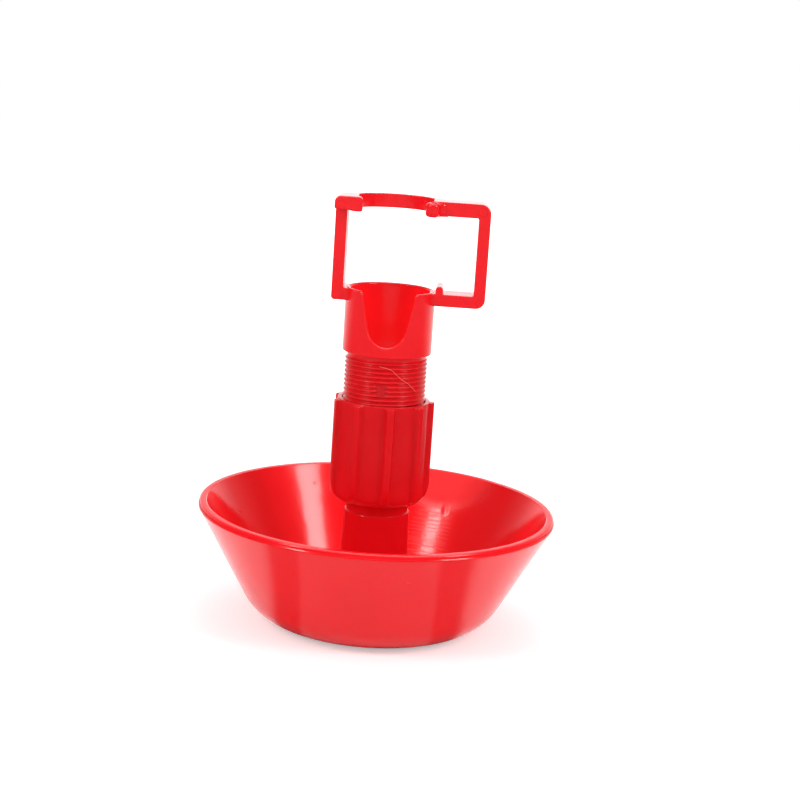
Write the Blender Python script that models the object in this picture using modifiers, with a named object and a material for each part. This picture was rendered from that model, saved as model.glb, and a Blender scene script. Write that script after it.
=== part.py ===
"""Hanging drinking cup for poultry: a bowl, an adjusting sleeve and a hanger, each one moulding.

Metres, +Z up. The origin is the centre of the bowl's underside. -Y is the front, where the collar has its
notch and the snap ring its opening, and the frame reaches furthest towards +X.
"""
import math

import bmesh
import bpy
from mathutils import Matrix, Vector

MM = 0.001

# Running clearance between two pieces that turn or slide in each other
RUNNING_GAP = 0.3 * MM

# Bowl: a straight flared wall on a flat base, with a thicker band and a rounded lip at the rim
RIM_RADIUS = 37.5 * MM
BOWL_HEIGHT = 24.9 * MM
BOWL_WALL = 1.5 * MM
BASE_RADIUS = 18.0 * MM
BASE_FILLET = 10.7 * MM
WALL_FLARE = math.radians(29.0)
RIM_BAND_HEIGHT = 1.2 * MM
RIM_LIP_RADIUS = 0.6 * MM
GATE_DIMPLE_RADIUS = 2.4 * MM
GATE_DIMPLE_DEPTH = 0.5 * MM
GATE_STUB_RADIUS = 0.9 * MM

# Hollow centre post of the bowl, with a shoulder that a thinner neck stands on
POST_RADIUS = 6.65 * MM
POST_DRAFT = math.radians(2.0)
POST_HEIGHT = 24.0 * MM
POST_FOOT_FILLET = 1.5 * MM
POST_BORE_RADIUS = 4.9 * MM
SHOULDER_ROUNDING = 0.3 * MM
NECK_RADIUS = 6.3 * MM
NECK_SHOWING = 2.2 * MM
BEAD_PROUD = 0.65 * MM
BEAD_HEIGHT = 1.3 * MM
NECK_TIP_HEIGHT = 0.6 * MM

# Outlets at the foot of the post, where the water leaves it for the bowl
OUTLET_WIDTH = 3.4 * MM
OUTLET_HEIGHT = 3.6 * MM
OUTLET_SILL = 0.3 * MM

# Adjusting sleeve: a ribbed nut whose floor is held on the neck, under the bead
SLEEVE_LENGTH = 21.7 * MM
SLEEVE_RADIUS = 9.65 * MM
SLEEVE_FLOOR = 2.0 * MM
SLEEVE_EDGE_RADIUS = 2.0 * MM
SLEEVE_MOUTH_CHAMFER = 0.3 * MM
RIB_COUNT = 9
RIB_WIDTH = 1.3 * MM
RIB_PROUD = 1.0 * MM
RIB_FOOT = 2.8 * MM
RIB_TOP_STEP = 0.15 * MM
RIB_ROUNDING = 0.25 * MM
FIRST_RIB = math.radians(11.0)

# Hanger: a tube with a fine thread, which runs down into the sleeve, and a notched collar on it
THREAD_CREST_RADIUS = 8.6 * MM
THREAD_DEPTH = 0.5 * MM
TUBE_WALL = 0.8 * MM
THREAD_SHOWING = 10.0 * MM
THREAD_IN_SLEEVE = 9.4 * MM
COLLAR_RADIUS = 9.25 * MM
COLLAR_WALL = 0.9 * MM
COLLAR_HEIGHT = 13.2 * MM
COLLAR_BORE_DRAFT = math.radians(0.8)
COLLAR_EDGE = 0.2 * MM
FUNNEL_HEIGHT = 2.4 * MM

# Drinking notch in the front of the collar
NOTCH_DEPTH = 11.0 * MM
NOTCH_BOTTOM_RADIUS = 3.8 * MM
NOTCH_FLARE = math.radians(11.9)
NOTCH_CORNER = 0.5 * MM

# Square frame that stands on the collar, and the small rib on its lower bar
FRAME_LEFT = -12.05 * MM
FRAME_RIGHT = 19.5 * MM
FRAME_DEPTH = 7.0 * MM
POST_BAR_WIDTH = 2.4 * MM
LOWER_BAR_HEIGHT = 2.5 * MM
LOWER_BAR_DROP = 0.1 * MM
TOP_BAR_HEIGHT = 2.9 * MM
WINDOW_HEIGHT = 15.9 * MM
FRAME_CORNER = 1.6 * MM
FRAME_LEFT_CORNER = 1.2 * MM
FRAME_FOOT_CORNER = 0.7 * MM
FRAME_EDGE = 0.2 * MM
STOP_RIB_PLACE = 10.05 * MM
STOP_RIB_FOOT = 1.35 * MM
STOP_RIB_TOP = 1.05 * MM
STOP_RIB_HEIGHT = 1.5 * MM

# Snap ring between the top bars, open at the front between a flat lip and a round one
RING_BORE_RADIUS = 8.4 * MM
RING_WALL = 1.2 * MM
RING_DROP = 0.1 * MM
LIP_FRONT = 6.2 * MM
FLAT_LIP_END = -6.5 * MM
FLAT_LIP_HEIGHT = 3.0 * MM
FLAT_LIP_PROUD = 0.15 * MM
FLAT_LIP_RISE = 0.1 * MM
FLAT_LIP_CORNER = 0.9 * MM
FLAT_LIP_STEP = 0.3 * MM
ROUND_LIP_RADIUS = 1.5 * MM
ROUND_LIP_BEARING = math.radians(-31.8)
ROUND_LIP_EDGE = 0.7 * MM
ROUND_LIP_DROP = 0.1 * MM
LIP_HOLLOW_RADIUS = 2.1 * MM
LIP_HOLLOW_END = 10.95 * MM

# Faces around each kind of turned form
BOWL_STEPS = 64
SLEEVE_STEPS = 72
HANGER_STEPS = 48
SMALL_STEPS = 20
ARC_STEP = math.radians(15.0)

RED = (0.72, 0.012, 0.018)

# Heights that follow from the sizes above
SLEEVE_BOTTOM = POST_HEIGHT + NECK_SHOWING
SLEEVE_TOP = SLEEVE_BOTTOM + SLEEVE_LENGTH
THREAD_ROOT_RADIUS = THREAD_CREST_RADIUS - THREAD_DEPTH
TUBE_BORE_RADIUS = THREAD_ROOT_RADIUS - TUBE_WALL
TUBE_BOTTOM = SLEEVE_TOP - THREAD_IN_SLEEVE
COLLAR_BOTTOM = SLEEVE_TOP + THREAD_SHOWING
COLLAR_TOP = COLLAR_BOTTOM + COLLAR_HEIGHT
LOWER_BAR_TOP = COLLAR_TOP - LOWER_BAR_DROP
LOWER_BAR_BOTTOM = LOWER_BAR_TOP - LOWER_BAR_HEIGHT
TOP_BAR_BOTTOM = COLLAR_TOP + WINDOW_HEIGHT
BAR_TOP = TOP_BAR_BOTTOM + TOP_BAR_HEIGHT
HANGER_TOP = BAR_TOP + FLAT_LIP_RISE
FLAT_LIP_BOTTOM = HANGER_TOP - FLAT_LIP_HEIGHT
RING_TOP = BAR_TOP - RING_DROP
RING_BOTTOM = TOP_BAR_BOTTOM - RING_DROP
RING_RADIUS = RING_BORE_RADIUS + RING_WALL
CUT_PAST = 2.0 * MM


def arc(centre, radius, start, end):
    """Points on a circle about centre, from one angle to another, both ends included."""
    count = max(1, math.ceil(abs(end - start) / ARC_STEP - 1e-6))
    angles = [start + (end - start) * i / count for i in range(count + 1)]
    return [(centre[0] + radius * math.cos(a), centre[1] + radius * math.sin(a)) for a in angles]


def rounded(corners):
    """Outline through (x, y, radius) corners, each corner with a radius replaced by its arc."""
    points = []
    for i, (x, y, radius) in enumerate(corners):
        if radius <= 0.0:
            points.append((x, y))
            continue
        corner = Vector((x, y))
        to_last = (Vector(corners[i - 1][:2]) - corner).normalized()
        to_next = (Vector(corners[(i + 1) % len(corners)][:2]) - corner).normalized()
        half = to_last.angle(to_next) / 2
        centre = corner + (to_last + to_next).normalized() * radius / math.sin(half)
        first = corner + to_last * radius / math.tan(half) - centre
        last = corner + to_next * radius / math.tan(half) - centre
        start = math.atan2(first.y, first.x)
        sweep = (math.atan2(last.y, last.x) - start + math.pi) % (2 * math.pi) - math.pi
        points += arc(centre, radius, start, start + sweep)
    return points


def collection(name):
    """A new collection in the scene."""
    group = bpy.data.collections.new(name)
    bpy.context.scene.collection.children.link(group)
    return group


def plastic(name):
    """Glossy red moulded plastic."""
    made = bpy.data.materials.new(name)
    made.use_nodes = True
    shader = made.node_tree.nodes["Principled BSDF"]
    shader.inputs["Base Color"].default_value = (*RED, 1.0)
    shader.inputs["Roughness"].default_value = 0.28
    shader.inputs["Metallic"].default_value = 0.0
    return made


def turned(name, group, profile, steps):
    """A form turned about Z from a profile of (radius, height) points that runs down its outer side."""
    mesh = bpy.data.meshes.new(name)
    edges = [(i, i + 1) for i in range(len(profile) - 1)]
    mesh.from_pydata([(r, 0.0, z) for r, z in profile], edges, [])
    made = bpy.data.objects.new(name, mesh)
    group.objects.link(made)
    screw = made.modifiers.new("Turn", "SCREW")
    screw.axis = "Z"
    screw.steps = steps
    screw.render_steps = steps
    screw.use_merge_vertices = True
    screw.merge_threshold = 0.00001
    return made


def extruded(name, group, outline, thickness, placing):
    """A flat outline given a thickness, from a filled 2D curve, then placed by a matrix."""
    curve = bpy.data.curves.new(name, "CURVE")
    curve.dimensions = "2D"
    curve.fill_mode = "BOTH"
    curve.extrude = thickness / 2
    spline = curve.splines.new("POLY")
    spline.points.add(len(outline) - 1)
    for point, (x, y) in zip(spline.points, outline):
        point.co = (x, y, 0.0, 1.0)
    spline.use_cyclic_u = True
    drawn = bpy.data.objects.new(name, curve)
    group.objects.link(drawn)
    bpy.context.view_layer.update()
    evaluated = drawn.evaluated_get(bpy.context.evaluated_depsgraph_get())
    mesh = bpy.data.meshes.new_from_object(evaluated)
    shape = bmesh.new()
    shape.from_mesh(mesh)
    bmesh.ops.remove_doubles(shape, verts=shape.verts, dist=0.000001)
    bmesh.ops.recalc_face_normals(shape, faces=shape.faces)
    shape.to_mesh(mesh)
    shape.free()
    made = bpy.data.objects.new(name, mesh)
    made.matrix_world = placing
    group.objects.link(made)
    bpy.data.objects.remove(drawn)
    bpy.data.curves.remove(curve)
    return made


def front_view(depth_centre=0.0):
    """Placing that stands an outline drawn in X and Z upright, with its thickness along Y."""
    return Matrix(((1, 0, 0, 0), (0, 0, -1, depth_centre), (0, 1, 0, 0), (0, 0, 0, 1)))


def plan_view(height):
    """Placing that lays an outline drawn in X and Y at a height, with its thickness along Z."""
    return Matrix.Translation((0.0, 0.0, height))


def eased(piece, width, segments=2):
    """Rounds the sharp edges of a piece."""
    bevel = piece.modifiers.new("Ease edges", "BEVEL")
    bevel.width = width
    bevel.segments = segments
    bevel.limit_method = "ANGLE"
    bevel.angle_limit = math.radians(50.0)
    bevel.use_clamp_overlap = True
    return piece


def combine(piece, tool, operation):
    """Joins a helper to a piece, or cuts it away, and marks the helper as one."""
    step = piece.modifiers.new(f"{operation.title()} {tool.name}", "BOOLEAN")
    step.operation = operation
    step.object = tool
    step.solver = "EXACT"
    tool.hide_render = True
    tool.display_type = "WIRE"
    return piece


def finish(piece, material):
    """Applies the modifiers, shades the round faces smooth and gives the piece its material."""
    bpy.context.view_layer.update()
    evaluated = piece.evaluated_get(bpy.context.evaluated_depsgraph_get())
    mesh = bpy.data.meshes.new_from_object(evaluated)
    piece.modifiers.clear()
    piece.data = mesh
    mesh.name = piece.name
    mesh.materials.clear()
    mesh.materials.append(material)
    mesh.shade_smooth()
    mesh.set_sharp_from_angle(angle=math.radians(35.0))
    return piece


def wall_line(offset):
    """Foot (radius, height) of the bowl's flared wall, moved inwards by an offset from its outer face."""
    radius = BASE_FILLET - offset
    return (BASE_RADIUS + radius * math.cos(WALL_FLARE), BASE_FILLET - radius * math.sin(WALL_FLARE))


def wall_radius(height, offset):
    """Radius of the bowl's flared wall at a height, at an offset inwards from its outer face."""
    foot_radius, foot_height = wall_line(offset)
    return foot_radius + (height - foot_height) * math.tan(WALL_FLARE)


def post_radius(height):
    """Outside radius of the tapered centre post at a height."""
    return POST_RADIUS + (POST_HEIGHT - height) * math.tan(POST_DRAFT)


def bowl_profile():
    """Section of the bowl from the axis inside the post, over neck, floor and rim, to the underside."""
    floor = BOWL_WALL
    bead_bottom = SLEEVE_BOTTOM + SLEEVE_FLOOR + RUNNING_GAP
    bead_radius = NECK_RADIUS + BEAD_PROUD
    tip = bead_bottom + BEAD_HEIGHT + NECK_TIP_HEIGHT
    bore_foot = POST_BORE_RADIUS - (tip - floor) * math.tan(POST_DRAFT) / 2
    points = [(0.0, floor), (bore_foot, floor), (POST_BORE_RADIUS, tip)]
    points += [(NECK_RADIUS - NECK_TIP_HEIGHT / 2, tip), (NECK_RADIUS, tip - NECK_TIP_HEIGHT / 2)]
    points += [(bead_radius, bead_bottom + BEAD_HEIGHT / 2), (bead_radius, bead_bottom + BEAD_HEIGHT / 4)]
    points += [(NECK_RADIUS, bead_bottom), (NECK_RADIUS, POST_HEIGHT)]
    shoulder = (POST_RADIUS - SHOULDER_ROUNDING, POST_HEIGHT - SHOULDER_ROUNDING)
    points += arc(shoulder, SHOULDER_ROUNDING, math.pi / 2, 0.0)[1:]
    foot = post_radius(floor + POST_FOOT_FILLET) + POST_FOOT_FILLET
    points += arc((foot, floor + POST_FOOT_FILLET), POST_FOOT_FILLET, math.pi, 1.5 * math.pi)
    inner = BASE_FILLET - BOWL_WALL
    points += arc((BASE_RADIUS, BASE_FILLET), inner, -math.pi / 2, -WALL_FLARE)
    lip = RIM_LIP_RADIUS
    band = BOWL_HEIGHT - RIM_BAND_HEIGHT
    inner_rim = wall_radius(BOWL_HEIGHT - lip, BOWL_WALL)
    points += arc((inner_rim + lip, BOWL_HEIGHT - lip), lip, math.pi, math.pi / 2)
    points += arc((RIM_RADIUS - lip, BOWL_HEIGHT - lip), lip, math.pi / 2, 0.0)
    points += [(RIM_RADIUS, band), (wall_radius(band, 0.0), band)]
    points += arc((BASE_RADIUS, BASE_FILLET), BASE_FILLET, -WALL_FLARE, -math.pi / 2)
    points += [(GATE_DIMPLE_RADIUS, 0.0), (GATE_DIMPLE_RADIUS, GATE_DIMPLE_DEPTH)]
    points += [(GATE_STUB_RADIUS, GATE_DIMPLE_DEPTH), (GATE_STUB_RADIUS, GATE_DIMPLE_DEPTH / 3)]
    points += [(0.0, GATE_DIMPLE_DEPTH / 3)]
    return points


def outlet_outline():
    """Outline of an outlet, a small door with a round top, drawn about X = 0 from its sill."""
    half = OUTLET_WIDTH / 2
    sill = BOWL_WALL + OUTLET_SILL
    spring = sill + OUTLET_HEIGHT - half
    return [(-half, sill), (half, sill)] + arc((0.0, spring), half, 0.0, math.pi)


def make_bowl(parts, cutters):
    """Bowl and hollow centre post in one, with the outlets cut across the foot of the post."""
    bowl = turned("bowl", parts, bowl_profile(), BOWL_STEPS)
    reach = 2 * (post_radius(0.0) + 2 * POST_FOOT_FILLET)
    for number, turn in enumerate((math.pi / 4, -math.pi / 4), start=1):
        placing = Matrix.Rotation(turn, 4, "Z") @ front_view()
        cutter = extruded(f"outlet_cutter_{number}", cutters, outlet_outline(), reach, placing)
        combine(bowl, cutter, "DIFFERENCE")
    return bowl


def sleeve_profile():
    """Outer section of the sleeve, a plain drum with a large rounding at its lower edge."""
    edge = SLEEVE_EDGE_RADIUS
    points = [(0.0, SLEEVE_TOP), (SLEEVE_RADIUS, SLEEVE_TOP)]
    points += arc((SLEEVE_RADIUS - edge, SLEEVE_BOTTOM + edge), edge, 0.0, -math.pi / 2)
    points += [(0.0, SLEEVE_BOTTOM)]
    return points


def sleeve_bore_profile():
    """Section of the sleeve's inside: clear round the thread above, and a smaller hole for the neck."""
    bore = THREAD_CREST_RADIUS + RUNNING_GAP / 2
    hole = NECK_RADIUS + RUNNING_GAP
    floor_top = SLEEVE_BOTTOM + SLEEVE_FLOOR
    mouth = bore + SLEEVE_MOUTH_CHAMFER
    points = [(0.0, SLEEVE_TOP + CUT_PAST), (mouth, SLEEVE_TOP + CUT_PAST), (mouth, SLEEVE_TOP)]
    points += [(bore, SLEEVE_TOP - SLEEVE_MOUTH_CHAMFER), (bore, floor_top), (hole, floor_top)]
    points += [(hole, SLEEVE_BOTTOM - CUT_PAST), (0.0, SLEEVE_BOTTOM - CUT_PAST)]
    return points


def make_sleeve(parts, cutters):
    """Adjusting sleeve with its grip ribs, bored through for the hanger's tube and the bowl's neck."""
    sleeve = turned("adjusting_sleeve", parts, sleeve_profile(), SLEEVE_STEPS)
    low = SLEEVE_BOTTOM + RIB_FOOT
    high = SLEEVE_TOP - RIB_TOP_STEP
    inside = SLEEVE_RADIUS - RIB_PROUD / 2
    outside = SLEEVE_RADIUS + RIB_PROUD
    half = RIB_WIDTH / 2
    outline = [(inside, -half), (outside, -half), (outside, half), (inside, half)]
    for number in range(RIB_COUNT):
        turn = FIRST_RIB - math.pi / 2 + 2 * math.pi * number / RIB_COUNT
        placing = Matrix.Rotation(turn, 4, "Z") @ plan_view((low + high) / 2)
        rib = extruded(f"rib_{number + 1}", cutters, outline, high - low, placing)
        combine(sleeve, eased(rib, RIB_ROUNDING), "UNION")
    bore = turned("sleeve_bore", cutters, sleeve_bore_profile(), SLEEVE_STEPS)
    combine(sleeve, bore, "DIFFERENCE")
    return sleeve


def stem_profile():
    """Outer section of the hanger's stem: the collar above, and the tube at the root of its thread."""
    edge = COLLAR_EDGE
    points = [(0.0, COLLAR_TOP), (COLLAR_RADIUS - edge, COLLAR_TOP), (COLLAR_RADIUS, COLLAR_TOP - edge)]
    points += [(COLLAR_RADIUS, COLLAR_BOTTOM + edge), (COLLAR_RADIUS - edge, COLLAR_BOTTOM)]
    points += [(THREAD_ROOT_RADIUS, COLLAR_BOTTOM), (THREAD_ROOT_RADIUS, TUBE_BOTTOM + edge)]
    points += [(THREAD_ROOT_RADIUS - edge, TUBE_BOTTOM), (0.0, TUBE_BOTTOM)]
    return points


def stem_bore_profile():
    """Section of the stem's inside: the drafted collar, a short funnel and the straight tube."""
    mouth = COLLAR_RADIUS - COLLAR_WALL
    drop = COLLAR_TOP - COLLAR_BOTTOM
    collar_foot = mouth - drop * math.tan(COLLAR_BORE_DRAFT)
    above = mouth + CUT_PAST * math.tan(COLLAR_BORE_DRAFT)
    funnel_top = COLLAR_BOTTOM + FUNNEL_HEIGHT / 2
    funnel_foot = COLLAR_BOTTOM - FUNNEL_HEIGHT / 2
    points = [(0.0, COLLAR_TOP + CUT_PAST), (above, COLLAR_TOP + CUT_PAST), (collar_foot, funnel_top)]
    points += [(TUBE_BORE_RADIUS, funnel_foot), (TUBE_BORE_RADIUS, TUBE_BOTTOM - CUT_PAST)]
    points += [(0.0, TUBE_BOTTOM - CUT_PAST)]
    return points


def notch_outline():
    """Outline of the drinking notch: flared sides that run into a round bottom, open above the rim."""
    radius = NOTCH_BOTTOM_RADIUS
    bottom = COLLAR_TOP - NOTCH_DEPTH + radius
    side_x = radius * math.cos(NOTCH_FLARE)
    side_z = bottom - radius * math.sin(NOTCH_FLARE)
    half = side_x + (COLLAR_TOP - side_z) * math.tan(NOTCH_FLARE)
    brim = half + NOTCH_CORNER
    above = COLLAR_TOP + CUT_PAST
    shoulder = half - NOTCH_CORNER * math.tan(NOTCH_FLARE)
    right_edge = [(brim, above), (brim, COLLAR_TOP), (shoulder, COLLAR_TOP - NOTCH_CORNER)]
    left_edge = [(-x, z) for x, z in reversed(right_edge)]
    return right_edge + arc((0.0, bottom), radius, -NOTCH_FLARE, -math.pi + NOTCH_FLARE) + left_edge


def left_bracket_outline():
    """Front view of the left side of the frame: foot, upright and the root of the flat lip."""
    into_collar = -(COLLAR_RADIUS - 2 * COLLAR_WALL)
    into_ring = -(RING_BORE_RADIUS - RING_WALL)
    inner = FRAME_LEFT + POST_BAR_WIDTH
    root_bottom = FLAT_LIP_BOTTOM + FLAT_LIP_STEP + LOWER_BAR_DROP
    return rounded([
        (FRAME_LEFT, LOWER_BAR_BOTTOM, FRAME_FOOT_CORNER),
        (into_collar, LOWER_BAR_BOTTOM, 0.0),
        (into_collar, LOWER_BAR_TOP, 0.0),
        (inner, LOWER_BAR_TOP, 0.0),
        (inner, root_bottom, 0.0),
        (into_ring, root_bottom, 0.0),
        (into_ring, BAR_TOP, 0.0),
        (FRAME_LEFT, BAR_TOP, FRAME_LEFT_CORNER),
    ])


def right_bracket_outline():
    """Front view of the right side of the frame, with the small round-topped rib on its lower bar."""
    into_collar = COLLAR_RADIUS - 2 * COLLAR_WALL
    into_ring = RING_BORE_RADIUS - RING_WALL
    inner = FRAME_RIGHT - POST_BAR_WIDTH
    rib_foot = STOP_RIB_FOOT / 2
    rib_half = STOP_RIB_TOP / 2
    rib_round = 0.8 * rib_half
    rib_top = LOWER_BAR_TOP + STOP_RIB_HEIGHT
    return rounded([
        (FRAME_RIGHT, LOWER_BAR_BOTTOM, FRAME_CORNER),
        (FRAME_RIGHT, BAR_TOP, FRAME_CORNER),
        (into_ring, BAR_TOP, 0.0),
        (into_ring, TOP_BAR_BOTTOM, 0.0),
        (inner, TOP_BAR_BOTTOM, 0.0),
        (inner, LOWER_BAR_TOP, 0.0),
        (STOP_RIB_PLACE + rib_foot, LOWER_BAR_TOP, 0.0),
        (STOP_RIB_PLACE + rib_half, rib_top, rib_round),
        (STOP_RIB_PLACE - rib_half, rib_top, rib_round),
        (STOP_RIB_PLACE - rib_foot, LOWER_BAR_TOP, 0.0),
        (into_collar, LOWER_BAR_TOP, 0.0),
        (into_collar, LOWER_BAR_BOTTOM, 0.0),
    ])


def flat_lip_outline():
    """Front view of the flat lip, a block with rounded corners that is deeper past the ring's bore."""
    left = FRAME_LEFT - FLAT_LIP_PROUD
    root_bottom = FLAT_LIP_BOTTOM + FLAT_LIP_STEP
    step = -RING_BORE_RADIUS
    return rounded([
        (left, root_bottom, FLAT_LIP_CORNER / 2),
        (step - FLAT_LIP_STEP, root_bottom, 0.0),
        (step, FLAT_LIP_BOTTOM, 0.0),
        (FLAT_LIP_END, FLAT_LIP_BOTTOM, FLAT_LIP_CORNER),
        (FLAT_LIP_END, HANGER_TOP, FLAT_LIP_CORNER),
        (left, HANGER_TOP, FLAT_LIP_CORNER),
    ])


def round_lip_centre():
    """Centre of the round lip, on the middle of the ring's wall."""
    radius = RING_BORE_RADIUS + RING_WALL / 2
    return (radius * math.cos(ROUND_LIP_BEARING), radius * math.sin(ROUND_LIP_BEARING))


def lip_web_outline():
    """Plan of the web from the round lip to the top bar, its front a hollow quarter circle."""
    lip_x, lip_y = round_lip_centre()
    inner = lip_x + ROUND_LIP_RADIUS / 4
    bar_front = -FRAME_DEPTH / 2
    sunk = bar_front + FRAME_EDGE / 2
    past = bar_front + RING_WALL
    curve = arc((LIP_HOLLOW_END, sunk - LIP_HOLLOW_RADIUS), LIP_HOLLOW_RADIUS, math.pi, math.pi / 2)
    return [(inner, lip_y)] + curve + [(LIP_HOLLOW_END, past), (inner, past)]


def round_lip_profile():
    """Section of the round lip, a short post with rounded ends, set a little below the ring's top."""
    radius = ROUND_LIP_RADIUS
    edge = ROUND_LIP_EDGE
    high = RING_TOP - ROUND_LIP_DROP
    low = RING_BOTTOM - ROUND_LIP_DROP
    top = arc((radius - edge, high - edge), edge, math.pi / 2, 0.0)
    bottom = arc((radius - edge, low + edge), edge, 0.0, -math.pi / 2)
    return [(0.0, high)] + top + bottom + [(0.0, low)]


def ring_blank(cutters):
    """Disc that the snap ring is bored from, with its front cut away between the two lips."""
    section = [(0.0, RING_TOP), (RING_RADIUS, RING_TOP)]
    section += [(RING_RADIUS, RING_BOTTOM), (0.0, RING_BOTTOM)]
    ring = turned("ring_blank", cutters, section, HANGER_STEPS)
    lip_x, _ = round_lip_centre()
    in_lip = FLAT_LIP_END - FLAT_LIP_CORNER / 2
    behind_face = -LIP_FRONT + 2 * FRAME_EDGE
    far = -2 * RING_RADIUS
    front = [(far, far), (lip_x, far), (lip_x, 0.0)]
    front += [(in_lip, 0.0), (in_lip, behind_face), (far, behind_face)]
    middle = (RING_TOP + RING_BOTTOM) / 2
    gap = extruded("ring_gap_cutter", cutters, front, TOP_BAR_HEIGHT + 2 * CUT_PAST, plan_view(middle))
    return combine(ring, gap, "DIFFERENCE")


def make_hanger(parts, cutters):
    """Threaded tube, notched collar, square frame and snap ring in one moulding."""
    hanger = turned("hanger", parts, stem_profile(), HANGER_STEPS)
    frame_sides = (("left_bracket", left_bracket_outline()), ("right_bracket", right_bracket_outline()))
    for name, outline in frame_sides:
        side = extruded(name, cutters, outline, FRAME_DEPTH, front_view())
        combine(hanger, eased(side, FRAME_EDGE, 1), "UNION")

    lip_depth = LIP_FRONT - FRAME_DEPTH / 2 + RING_WALL
    lip_place = front_view(lip_depth / 2 - LIP_FRONT)
    flat_lip = extruded("flat_lip", cutters, flat_lip_outline(), lip_depth, lip_place)
    combine(hanger, eased(flat_lip, FRAME_EDGE, 1), "UNION")
    combine(hanger, ring_blank(cutters), "UNION")
    web_height = RING_TOP - RING_BOTTOM - ROUND_LIP_DROP
    web_place = plan_view((RING_TOP + RING_BOTTOM) / 2)
    web = extruded("lip_web", cutters, lip_web_outline(), web_height, web_place)
    combine(hanger, web, "UNION")

    ring_bore = [
        (0.0, HANGER_TOP + CUT_PAST), (RING_BORE_RADIUS, HANGER_TOP + CUT_PAST),
        (RING_BORE_RADIUS, TOP_BAR_BOTTOM - CUT_PAST), (0.0, TOP_BAR_BOTTOM - CUT_PAST),
    ]
    combine(hanger, turned("ring_bore_cutter", cutters, ring_bore, HANGER_STEPS), "DIFFERENCE")
    round_lip = turned("round_lip", cutters, round_lip_profile(), SMALL_STEPS)
    lip_x, lip_y = round_lip_centre()
    round_lip.location = (lip_x, lip_y, 0.0)
    combine(hanger, round_lip, "UNION")

    combine(hanger, turned("stem_bore", cutters, stem_bore_profile(), HANGER_STEPS), "DIFFERENCE")
    notch_reach = 2 * COLLAR_RADIUS
    notch = extruded("notch_cutter", cutters, notch_outline(), notch_reach, front_view(-notch_reach / 2))
    combine(hanger, notch, "DIFFERENCE")
    return hanger


for old in list(bpy.data.objects):
    bpy.data.objects.remove(old, do_unlink=True)

parts = collection("poultry_drinking_cup")
cutters = collection("cutters_and_joined_helpers")
finish(make_bowl(parts, cutters), plastic("bowl_plastic"))
finish(make_sleeve(parts, cutters), plastic("sleeve_plastic"))
finish(make_hanger(parts, cutters), plastic("hanger_plastic"))
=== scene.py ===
"""Looks of the hanging drinking cup for poultry: three mouldings of glossy red plastic.

Metres, +Z up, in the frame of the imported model: the origin is the centre of the bowl's underside, and -Y is
the front, where the collar has its notch.
"""
import math

import bmesh
import bpy
import numpy as np
from mathutils import Matrix, Vector


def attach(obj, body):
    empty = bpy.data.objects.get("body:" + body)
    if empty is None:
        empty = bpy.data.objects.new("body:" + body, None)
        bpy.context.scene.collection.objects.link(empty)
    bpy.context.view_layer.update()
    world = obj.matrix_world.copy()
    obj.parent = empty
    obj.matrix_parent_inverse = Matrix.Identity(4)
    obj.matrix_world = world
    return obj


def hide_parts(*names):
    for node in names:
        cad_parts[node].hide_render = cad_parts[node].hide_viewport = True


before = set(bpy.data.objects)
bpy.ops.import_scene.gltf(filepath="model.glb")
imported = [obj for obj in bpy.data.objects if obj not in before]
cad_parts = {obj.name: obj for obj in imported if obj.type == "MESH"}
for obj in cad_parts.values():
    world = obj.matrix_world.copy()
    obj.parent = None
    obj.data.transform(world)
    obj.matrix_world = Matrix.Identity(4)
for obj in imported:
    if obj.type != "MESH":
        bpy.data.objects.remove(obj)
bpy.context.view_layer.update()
MM = 0.001


# Camera: the photograph was taken from the front, a little above the ring, with the camera rolled so that
# the cup leans to the right in the picture.
CAMERA_PLACE = Vector((12.94, -370.68, 124.58)) * MM
CAMERA_DOWN = 0.2043
CAMERA_TURN = 0.0257
CAMERA_ROLL = 0.066
LENS = 81.585
SENSOR = 36.0

lens_data = bpy.data.cameras.new("photo_camera")
lens_data.lens = LENS
lens_data.sensor_width = SENSOR
lens_data.sensor_fit = "HORIZONTAL"
lens_data.clip_start = 0.01
camera = bpy.data.objects.new("photo_camera", lens_data)
camera.matrix_world = (
    Matrix.Translation(CAMERA_PLACE)
    @ Matrix.Rotation(CAMERA_TURN, 4, "Z")
    @ Matrix.Rotation(math.pi / 2 - CAMERA_DOWN, 4, "X")
    @ Matrix.Rotation(CAMERA_ROLL, 4, "Z")
)
bpy.context.scene.collection.objects.link(camera)
bpy.context.scene.camera = camera
bpy.context.scene.view_settings.view_transform = "Standard"


# Studio: a small white table in front of a white backdrop, in a room that is dim on the camera's side, as the
# reflections in the plastic show. The camera itself sees white all round.
ROOM_LIGHT = 0.80
DIM_GLOSS = 0.08
BACKDROP_GLOSS = 1.0
BACKDROP_BESIDE = (0.20, 0.85)
BACKDROP_ABOVE = (0.12, 0.27)
BACKDROP_FALL = 0.45
UNDERNEATH = (-0.5, -0.8)
OVERHEAD = (0.76, 0.92)
OVERHEAD_GLOSS = 2.4
HORIZON = (0.960, 0.986)
HORIZON_GLOSS = 1.0


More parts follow.
